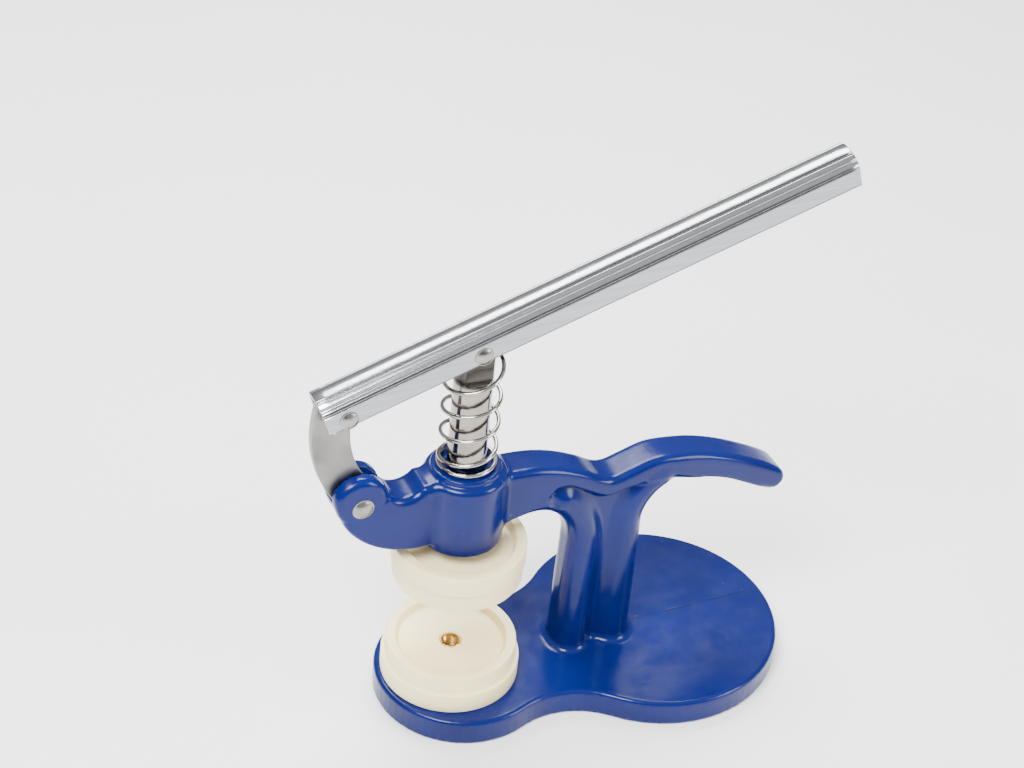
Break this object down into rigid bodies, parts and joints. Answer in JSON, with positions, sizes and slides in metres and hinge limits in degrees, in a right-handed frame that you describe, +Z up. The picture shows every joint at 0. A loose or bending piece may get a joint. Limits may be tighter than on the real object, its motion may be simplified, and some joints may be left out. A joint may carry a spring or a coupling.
{
  "type": "watch case press",
  "caption": "Hand-lever watch case press: cast frame with tail grip, sprung plated ram, fluted lever on a bowed link, and screwed-on recessed nylon dies.",
  "frame": {"origin": "underside of the base plate, straight below the ram's axis", "axes": "+Z up along the ram, +X from the dies to the rear tail, +Y across the press; the y = 0 plane is its mirror plane"},
  "size_m": [0.1909, 0.096, 0.2054],
  "materials": {
    "blue_enamel": "gloss enamel over cast metal",
    "stud_steel": "zinc-plated thread",
    "nylon": "moulded, faint sheen",
    "brass": "turned",
    "ram_plate": "bright nickel plate",
    "spring_wire": "bright drawn wire",
    "lever_metal": "bright drawn, fluted",
    "link_steel": "satin",
    "rivet_steel": "domed, bright"
  },
  "bodies": {
    "stand": {"frame": "blue_enamel", "lower_stud": "stud_steel", "link_pin": "rivet_steel", "return_spring": "spring_wire"},
    "lower_die_set": {"lower_die": "nylon", "lower_insert": "brass"},
    "plunger": {"ram": "ram_plate", "upper_stud": "stud_steel"},
    "upper_die_set": {"upper_die": "nylon", "upper_insert": "brass"},
    "lever_arm": {"lever": "lever_metal", "lever_end_pin": "rivet_steel", "ram_pin": "rivet_steel"},
    "tie_link": {"link": "link_steel"}
  },
  "joints": [
    {"name": "ram_slide", "type": "slide", "parent": "stand", "child": "plunger", "axis": [0, 0, -1], "range_m": [0, 0.027], "stiffness_N_per_m": 1300, "springref_m": -0.004, "deforming": ["return_spring"]},
    {"name": "lever_pivot", "type": "hinge", "parent": "plunger", "child": "lever_arm", "pos_m": [0, 0, 0.1522], "axis": [0, 1, 0], "range_deg": [0, 32]},
    {"name": "link_pivot", "type": "hinge", "parent": "stand", "child": "tie_link", "pos_m": [-0.0396, 0, 0.0988], "axis": [0, -1, 0], "range_deg": [0, 3.8]},
    {"name": "lower_die_turn", "type": "hinge", "parent": "stand", "child": "lower_die_set", "pos_m": [0, 0, 0.018], "axis": [0, 0, 1], "range_deg": [0, 360]},
    {"name": "upper_die_turn", "type": "hinge", "parent": "plunger", "child": "upper_die_set", "pos_m": [0, 0, 0.064], "axis": [0, 0, -1], "range_deg": [0, 360]}
  ],
  "couplings": [
    {"joint": "lever_pivot", "follows": "ram_slide", "rad_per_m": 20.438},
    {"joint": "link_pivot", "follows": "ram_slide", "rad_per_m": 2.361}
  ]
}
